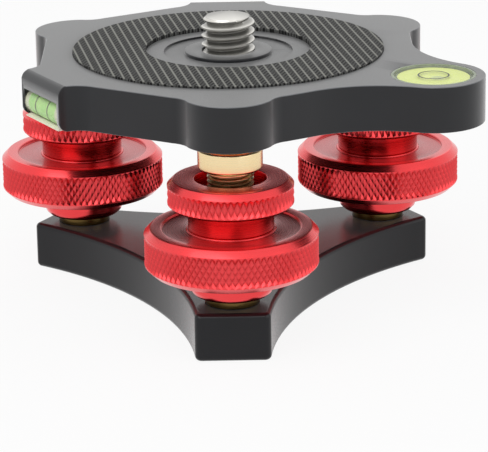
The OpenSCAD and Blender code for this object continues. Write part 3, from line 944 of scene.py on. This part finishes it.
@dataclass
class PadAndScrew:
    """The rubber pad, the camera screw and the flanged bush round it."""

    pad_radii: Pair = (14.8, 27.9)
    pad_heights: Pair = (45.0, 45.7)
    pad_round: float = 0.12
    pad_steps: int = 160
    flange_radius: float = 7.85
    flange_low: float = 44.6
    flange_high: float = 45.2
    sleeve_radius: float = 6.0
    sleeve_low: float = 41.8
    bush_gap: float = 0.02
    head_high: float = 40.2
    head_edge: float = 0.15
    overlap: float = 0.1
    screw: Thread = field(
        default_factory=lambda: Thread(THREAD_RADIUS, THREAD_PITCH, 44.8, 51.35, tip=0.9, drop=0.27, steps=72))

    def build(self) -> None:
        """Builds the pad, the bush and the screw."""
        (inner, outer), (low, high), rounding = self.pad_radii, self.pad_heights, self.pad_round
        pad = turn([
            (inner, low, 0.0), (outer, low, 0.0), (outer, high, rounding), (inner, high, rounding),
        ], self.pad_steps)
        make_piece("pad_ribbed", pad, RUBBER, "platform", ["rubber_pad"])
        bore = self.screw.radius + self.bush_gap
        bush = turn([
            (bore, self.sleeve_low, 0.0), (self.sleeve_radius, self.sleeve_low, 0.0),
            (self.sleeve_radius, self.flange_low, 0.0), (self.flange_radius, self.flange_low, 0.0),
            (self.flange_radius, self.flange_high, 0.18), (bore, self.flange_high, 0.1)])
        make_piece("bush_flanged", bush, BLACK, "platform", ["screw_bush"])
        screw = self.screw_shape()
        make_piece("camera_screw_threaded", screw, STEEL, "platform", ["camera_screw"])

    def screw_shape(self) -> Mesh:
        """Shapes the screw: its head as in the solid, and a true thread above.

        Returns:
            The screw in its place.
        """
        head = Cut(self.head_edge, lambda e: all(v.co.z / MM < self.head_high for v in e.verts))
        mesh = soften("camera_screw", [head])
        cap(mesh, self.screw.low + self.overlap, 1)
        absorb(mesh, self.screw.build())
        return mesh


@dataclass
class RoundLevel:
    """The round level let into its lobe."""

    height: float = 4.2
    radius: float = 7.4
    wall: float = 1.1
    base: float = 0.8
    lens: float = 0.45
    gap: float = 0.02
    ring_radius: float = 2.62
    ring_width: float = 0.27
    ring_lift: float = 0.3
    ring_film: float = 0.04
    bubble_radius: float = 1.2
    bubble_depth: float = 0.3
    bubble_steps: int = 48
    bubble_shift: Pair = (0.62, -0.85)

    def place(self, shift: Pair = (0.0, 0.0)) -> Matrix:
        """Returns the move from the middle to the level's axis, or to a shift from it in millimetres."""
        return Matrix.Translation((Vector(BULLSEYE) + Vector(shift)).to_3d() * MM)

    def build(self) -> None:
        """Builds the cup, the spirit, the lens, the printed ring and the bubble."""
        low, high, seat = PLATE_HIGH - self.height, PLATE_HIGH, PLATE_HIGH - self.lens
        inner, rebate, floor = self.radius - self.wall, self.radius - self.wall / 2, low + self.base
        print_low, print_half = seat + self.ring_lift, self.ring_width / 2
        cup = turn([
            (0.0, low, 0.0), (self.radius, low, 0.1), (self.radius, high, 0.12), (rebate, high, 0.08),
            (rebate, seat, 0.0), (inner, seat, 0.0), (inner, floor, 0.1), (0.0, floor, 0.0)], closed=False)
        spirit = ring((0.0, inner - self.gap), (floor, seat - self.gap), (0.1, 0.0))
        lens = ring((0.0, rebate - self.gap), (seat, high - self.gap), (0.0, 0.15))
        radii = (self.ring_radius - print_half, self.ring_radius + print_half)
        mark = ring(radii, (print_low, print_low + self.ring_film))
        heights = (seat - self.bubble_depth, seat + self.gap)
        bubble = ring((0.0, self.bubble_radius), heights, (0.14, 0.1), self.bubble_steps)
        for name, mesh, finish, slot, stands_for, shift in (
            ("cup_clear", cup, CUP, Slot.ACRYLIC, ["bullseye_cup"], (0.0, 0.0)),
            ("spirit", spirit, YELLOW_SPIRIT, Slot.LEVEL_FLUID, ["bullseye_fluid"], (0.0, 0.0)),
            ("lens_clear", lens, LENS, Slot.ACRYLIC, ["bullseye_lens"], (0.0, 0.0)),
            ("ring_mark", mark, INK, Slot.LEVEL_FLUID, [], (0.0, 0.0)),
            ("bubble", bubble, BUBBLE, Slot.LEVEL_FLUID, [], self.bubble_shift),
        ):
            make_piece(f"bullseye_{name}", mesh, finish, "platform", stands_for, self.place(shift))


@dataclass
class TubeLevel:
    """A tube level let into the flat end of a lobe."""

    side: TubeSide
    reach: float = 35.4
    height: float = 39.75
    radius: float = 2.4
    length: float = 12.4
    # The wall is drawn thin, because a clear wall magnifies the spirit to nearly the full width of the tube.
    wall: float = 0.12
    plug: float = 1.2
    plug_gap: float = 0.01
    gap: float = 0.02
    mark_spacing: float = 4.4
    mark_width: float = 0.26
    mark_sink: float = 0.015
    mark_rise: float = 0.03
    bubble_radius: float = 0.95
    bubble_length: float = 3.4
    bubble_wide: float = 1.25
    bubble_flat: float = 0.55
    bead_out: float = 37.75
    bead_foot: float = 37.24
    bead_angle: int = 60
    bead_step: int = 5
    bead_edge: float = 0.15
    bead_end: float = 0.05

    def build(self) -> None:
        """Builds the tube, its two ends, the spirit, two printed lines, the bubble and the bead of sealant."""
        label = self.side.value.label
        half, bore = self.length / 2, self.radius - self.wall
        end, plug = half - self.plug, bore - self.plug_gap
        tube = ring((bore, self.radius), (-half, half), (0.08, 0.08))
        spirit = ring((0.0, bore - self.gap), (-end, end), (0.15, 0.15))
        for name, mesh, finish, slot, stands_for in (
            ("clear", tube, TUBE, Slot.ACRYLIC, [f"{label}_vial_tube"]),
            ("end", ring((0.0, plug), (-end, -half), (0.05, 0.1)), CLOUDY, Slot.ACRYLIC, []),
            ("plug", ring((0.0, plug), (end, half), (0.05, 0.1)), CLOUDY, Slot.ACRYLIC, [f"{label}_vial_plug"]),
            ("spirit", spirit, GREEN_SPIRIT, Slot.VIAL_FLUID, [f"{label}_vial_fluid"]),
            ("mark_1", self.mark_shape(bore, -1), INK, Slot.VIAL_FLUID, []),
            ("mark_2", self.mark_shape(bore, 1), INK, Slot.VIAL_FLUID, []),
            ("bubble", self.bubble_shape(bore), BUBBLE, Slot.VIAL_FLUID, []),
            ("bead", self.bead_shape(), BEAD, Slot.ACETAL, []),
        ):
            make_piece(f"{label}_tube_{name}", mesh, finish, "platform", stands_for, self.place())

    def place(self) -> Matrix:
        """Works out where the tube lies.

        Returns:
            The move of a shape from the upright axis to the tube's axis on the plate.
        """
        lifted = Matrix.Translation(Vector((self.reach, 0.0, self.height)) * MM)
        turned = Matrix.Rotation(math.radians(self.side.value.angle_deg), 4, "Z")
        return turned @ lifted @ Matrix.Rotation(math.radians(-90), 4, "X")

    def mark_shape(self, bore: float, side: int) -> Mesh:
        """Returns the printed line on a side of the middle, -1 or 1, round a bore of that radius."""
        low, high = (side * self.mark_spacing / 2 + end * self.mark_width / 2 for end in (-1, 1))
        return ring((bore - self.mark_sink, bore + self.mark_rise), (low, high))

    def bubble_shape(self, bore: float) -> Mesh:
        """Shapes the long bubble that lies along the top of the bore, in the tube's own frame.

        Args:
            bore: Radius of the tube's bore.

        Returns:
            The bubble.
        """
        radius, flat = self.bubble_radius, self.bubble_flat
        mesh = bmesh.new()
        bmesh.ops.create_uvsphere(mesh, u_segments=32, v_segments=20, radius=radius * MM)
        bmesh.ops.scale(mesh, vec=(self.bubble_wide, flat, self.bubble_length / (2 * radius)), verts=mesh.verts)
        bmesh.ops.translate(mesh, vec=(0.0, -(bore - flat * radius) * MM, 0.0), verts=mesh.verts)
        smooth(mesh)
        return mesh

    def bead_shape(self) -> Mesh:
        """Shapes the bead of sealant that fills the corner under the tube, in the tube's own frame.

        Returns:
            The bead along the tube's axis.
        """
        low, far = self.height - self.bead_foot, self.bead_out - self.reach
        wall, half = self.radius + self.gap, self.length / 2 - self.bead_end
        angles = [math.radians(degrees) for degrees in range(self.bead_angle, 91, self.bead_step)]
        outline = [(wall * math.cos(a), wall * math.sin(a)) for a in angles]
        outline += [(0.0, low), (far - self.bead_edge, low), (far, low - self.bead_edge)]
        mesh = bmesh.new()
        face = mesh.faces.new([mesh.verts.new(Vector((x, y, -half)) * MM) for x, y in outline])
        grown = bmesh.ops.extrude_face_region(mesh, geom=[face], use_keep_orig=True)["geom"]
        risen = [item for item in grown if isinstance(item, bmesh.types.BMVert)]
        bmesh.ops.translate(mesh, vec=(0.0, 0.0, 2 * half * MM), verts=risen)
        bmesh.ops.recalc_face_normals(mesh, faces=mesh.faces)
        return mesh


@dataclass
class JackColumn:
    """A column: the wheel on its bearing, the lock ring above it and the jack screw through both."""

    column: Column
    hub_radius: float = 7.25
    hub_low: float = 10.2
    hub_round: float = 1.4
    wheel_low: float = 14.7
    wheel_high: float = 22.3
    wheel_chamfer: float = 1.1
    dish_radius: float = 11.95
    dish_depth: float = 0.5
    seat_radius: float = 7.75
    seat_high: float = 22.1
    bore: float = 4.1
    press_radius: float = 4.47
    press_high: float = 12.6
    # The bearing's outline: radius, height and rounding of each corner.
    bearing_outline: tuple[Corner, ...] = (
        (2.65, 1.3, 0.1), (3.9, 1.3, 0.15), (3.9, 2.0, 0.0), (3.4, 2.0, 0.0), (3.4, 2.85, 0.0), (3.9, 2.85, 0.0),
        (3.9, 8.65, 0.0), (4.75, 8.65, 0.1), (4.75, 10.2, 0.05), (4.45, 10.2, 0.0), (4.45, 12.58, 0.1),
        (2.65, 12.58, 0.1))
    neck_radius: float = 7.4
    ring_low: float = 22.15
    head_low: float = 26.1
    ring_high: float = 30.85
    ring_chamfer: float = 1.0
    ring_under_chamfer: float = 0.5
    pocket_radius: float = 6.2
    pocket_low: float = 27.15
    pocket_lip: float = 0.3
    wheel_knurl: Knurl = field(default_factory=lambda: Knurl(15.0, 15.8, 21.2, 84, 6))
    ring_knurl: Knurl = field(default_factory=lambda: Knurl(10.85, 26.6, 29.85, 62, 3))
    thread: Thread = field(default_factory=lambda: Thread(4.0, 0.75, 15.35, 32.65))
    core_gap: float = 0.05
    tail_radius: float = 2.6
    tail_low: float = 3.2
    collar_radius: float = 5.55
    collar_low: float = 32.6
    collar_high: float = 36.4
    collar_chamfer: float = 0.4
    waist_radius: float = 2.3
    waist_high: float = 37.25
    stud_radius: float = 1.5
    stud_high: float = 41.1
    # Bands of painted shade: how far they stay from an edge or reach past a wall, and how dark they are.
    shade_inset: float = 0.1
    shade_reach: float = 0.05
    top_shade: float = 0.3
    dish_shade: float = 0.75
    neck_shade: float = 0.1

    def build(self) -> None:
        """Builds the column's pieces and dresses the solids inside it."""
        label = self.column.value.label
        move = self.column.place() @ Matrix.Rotation(math.radians(self.column.value.spin_deg), 4, "Z")
        for name, mesh, finish, body, slot, node in (
            ("wheel_knurled", self.wheel(), RED, "wheel_unit", Slot.RED, "wheel"),
            ("bearing_turned", self.bearing(), BEARING, "wheel_unit", Slot.BRASS, "wheel_bearing"),
            ("ring_knurled", self.lock_ring(), RED, "lock_unit", Slot.RED, "lock_ring"),
            ("screw_threaded", self.jack_screw(), BRASS, "screw_unit", Slot.BRASS, "jack_screw"),
        ):
            make_piece(f"{label}_{name}", mesh, finish, f"{label}_{body}", [f"{label}_{node}"], move)
        for node, finish in (
            ("retaining_ring", STEEL), ("swivel_ball", STEEL), ("socket_cup", ACETAL), ("socket_ring", BRASS),
        ):
            dress_node(f"{label}_{node}", finish)

    def wheel(self) -> Mesh:
        """Shapes the large wheel with its hub, dish and knurl.

        Returns:
            The wheel round the upright axis.
        """
        rim, top = self.wheel_knurl.radius - self.wheel_chamfer, self.wheel_high
        dish = top - self.dish_depth
        mesh = turn([
            (self.press_radius, self.hub_low, 0.0), (self.hub_radius, self.hub_low, self.hub_round),
            (self.hub_radius, self.wheel_low, 0.3), (rim, self.wheel_low, 0.12), *self.wheel_knurl.outline(),
            (rim, top, 0.15), (self.dish_radius, top, 0.24), (self.dish_radius, dish, 0.12),
            (self.seat_radius, dish, 0.05), (self.seat_radius, self.seat_high, 0.2),
            (self.bore, self.seat_high, 0.1), (self.bore, self.press_high, 0.0),
            (self.press_radius, self.press_high, 0.0)], steps=2 * self.wheel_knurl.teeth)
        self.wheel_knurl.cut(mesh)
        # Painted shade on the wheel's top face and in its dish.
        darken(mesh, rim - self.shade_inset, (dish - TOUCH, top + TOUCH), self.top_shade)
        heights = (dish - TOUCH, dish + self.shade_reach)
        darken(mesh, self.dish_radius - self.shade_inset, heights, self.dish_shade)
        return mesh

    def lock_ring(self) -> Mesh:
        """Shapes the small ring with its neck, pocket and knurl.

        Returns:
            The ring round the upright axis.
        """
        radius, top = self.ring_knurl.radius, self.ring_high
        mesh = turn([
            (self.bore, self.ring_low, 0.0), (self.neck_radius, self.ring_low, 0.12),
            (self.neck_radius, self.head_low, 0.2), (radius - self.ring_under_chamfer, self.head_low, 0.1),
            *self.ring_knurl.outline(), (radius - self.ring_chamfer, top, 0.18), (self.pocket_radius, top, 0.18),
            (self.pocket_radius, self.pocket_low, 0.2), (self.bore, self.pocket_low, 0.15),
        ], steps=2 * self.ring_knurl.teeth)
        self.ring_knurl.cut(mesh)
        # Painted shade on the ring's neck and in its pocket.
        darken(mesh, self.neck_radius + self.shade_reach, (self.ring_low, self.head_low), self.neck_shade)
        heights = (self.pocket_low - self.shade_inset, top - self.pocket_lip)
        darken(mesh, self.pocket_radius + self.shade_reach, heights)
        return mesh

    def bearing(self) -> Mesh:
        """Shapes the brass bearing that the wheel turns on.

        Returns:
            The bearing round the upright axis.
        """
        mesh = turn(self.bearing_outline)
        # Painted shade on the shoulder under the wheel's hub.
        darken(mesh, self.hub_radius, (0.0, self.hub_low))
        return mesh

    def jack_screw(self) -> Mesh:
        """Shapes the screw with its tail, thread, collar, waist and stud.

        Returns:
            The screw round the upright axis.
        """
        root = self.thread.radius - self.thread.depth() - self.core_gap
        low, high, wide, cut = self.collar_low, self.collar_high, self.collar_radius, self.collar_chamfer
        mesh = turn([
            (0.0, self.tail_low, 0.0), (self.tail_radius, self.tail_low, 0.3),
            (self.tail_radius, self.thread.low, 0.0), (root, self.thread.low, 0.0), (root, low, 0.0),
            (wide - cut, low, 0.08), (wide, low + cut, 0.08), (wide, high - cut, 0.08), (wide - cut, high, 0.08),
            (self.waist_radius, high, 0.15), (self.waist_radius, self.waist_high, 0.05),
            (self.stud_radius, self.waist_high, 0.0), (self.stud_radius, self.stud_high, 0.1),
            (0.0, self.stud_high, 0.0)], closed=False)
        absorb(mesh, self.thread.build())
        return mesh


@dataclass
class Studio:
    """The floor, the light and the camera."""

    floor_size: float = 6.0
    paper: str = "#f2f2f2"
    white: str = "#ffffff"
    white_share: float = 0.9
    room_light: float = 0.45
    # Name, place and side in metres, and power in watts.
    lamps: tuple[tuple[str, Corner, float, float], ...] = (
        ("key", (-0.35, -0.6, 0.75), 1.0, 5.5),
        ("fill", (0.7, -0.45, 0.45), 0.9, 2.0),
        ("back", (0.0, 0.6, 0.6), 0.8, 0.6),
    )
    lamp_aim: Corner = (0.0, 0.0, 0.025)
    eye: Corner = (0.0536, -477.4011, 166.2344)
    yaw_deg: float = -0.2743
    fall_deg: float = 17.9301
    roll_deg: float = -0.8913
    focal_px: float = 2738.2
    image_width: int = 488
    sensor: float = 36.0
    near: float = 0.01

    def build(self) -> None:
        """Builds the whole studio."""
        bpy.context.scene.view_settings.view_transform = "Standard"
        self.floor()
        self.world()
        self.light()
        self.camera()

    def floor(self) -> None:
        """Lays a plain pale floor that reads as white and keeps the object's shadow."""
        mesh = bmesh.new()
        bmesh.ops.create_grid(mesh, x_segments=1, y_segments=1, size=self.floor_size / 2)
        data = bpy.data.meshes.new("floor")
        mesh.to_mesh(data)
        mesh.free()
        floor = bpy.data.objects.new("floor", data)
        bpy.context.scene.collection.objects.link(floor)
        paper = bpy.data.materials.new("white paper")
        paper.use_nodes = True
        tree = paper.node_tree
        tree.nodes.clear()
        matt = add_node(tree, "BsdfDiffuse", {"Color": linear(self.paper)})
        white = add_node(tree, "Emission", {"Color": linear(self.white), "Strength": 1.0})
        share = add_node(
            tree, "Math", {0: self.seen_rays(tree), 1: self.white_share}, operation="MULTIPLY")
        mixed = add_node(tree, "MixShader", {
            0: share.outputs[0], 1: matt.outputs[0], 2: white.outputs[0]})
        add_node(tree, "OutputMaterial", {"Surface": mixed.outputs[0]})
        data.materials.append(paper)

    def world(self) -> None:
        """Fills the room with soft light, and shows it white to the eye, to metal and through glass."""
        world = bpy.data.worlds.new("white room")
        world.use_nodes = True
        tree = world.node_tree
        tree.nodes.clear()
        soft, white = (
            add_node(tree, "Background", {"Color": linear(self.white), "Strength": strength})
            for strength in (self.room_light, 1.0))
        mixed = add_node(tree, "MixShader", {
            0: self.seen_rays(tree), 1: soft.outputs[0], 2: white.outputs[0]})
        add_node(tree, "OutputWorld", {"Surface": mixed.outputs[0]})
        bpy.context.scene.world = world

    def seen_rays(self, tree: Tree) -> Socket:
        """Tells what the eye, metal or glass sees from what only gives light.

        Args:
            tree: The node tree of a material or a world.

        Returns:
            A socket that is 1 for what is seen.
        """
        path = add_node(tree, "LightPath").outputs
        seen = path["Is Camera Ray"]
        for ray in ("Is Glossy Ray", "Is Transmission Ray"):
            seen = add_node(tree, "Math", {0: seen, 1: path[ray]}, operation="MAXIMUM").outputs[0]
        return seen

    def light(self) -> None:
        """Hangs square soft boxes that face the object."""
        for name, place, size, power in self.lamps:
            data = bpy.data.lights.new(name, "AREA")
            data.shape = "SQUARE"
            data.size = size
            data.energy = power
            lamp = bpy.data.objects.new(name, data)
            lamp.location = place
            lamp.rotation_euler = (Vector(self.lamp_aim) - lamp.location).to_track_quat("-Z", "Y").to_euler()
            bpy.context.scene.collection.objects.link(lamp)

    def camera(self) -> None:
        """Puts the camera at the photograph's viewing angle."""
        data = bpy.data.cameras.new("camera")
        data.sensor_fit = "HORIZONTAL"
        data.sensor_width = self.sensor
        data.lens = self.focal_px / self.image_width * self.sensor
        data.clip_start = self.near
        camera = bpy.data.objects.new("camera", data)
        camera.matrix_world = (
            Matrix.Translation(Vector(self.eye) * MM)
            @ Matrix.Rotation(math.radians(self.yaw_deg), 4, "Z")
            @ Matrix.Rotation(math.radians(90 - self.fall_deg), 4, "X")
            @ Matrix.Rotation(math.radians(self.roll_deg), 4, "Z")
        )
        bpy.context.scene.collection.objects.link(camera)
        bpy.context.scene.camera = camera


def main() -> None:
    """Builds the object's pieces and the studio, in order."""
    logging.basicConfig(level=logging.INFO, format="%(name)s: %(message)s")
    BasePlate().build()
    TopPlate().build()
    PadAndScrew().build()
    RoundLevel().build()
    for side in TubeSide:
        TubeLevel(side).build()
    for column in Column:
        JackColumn(column).build()
    Studio().build()


if __name__ == "__main__":
    main()
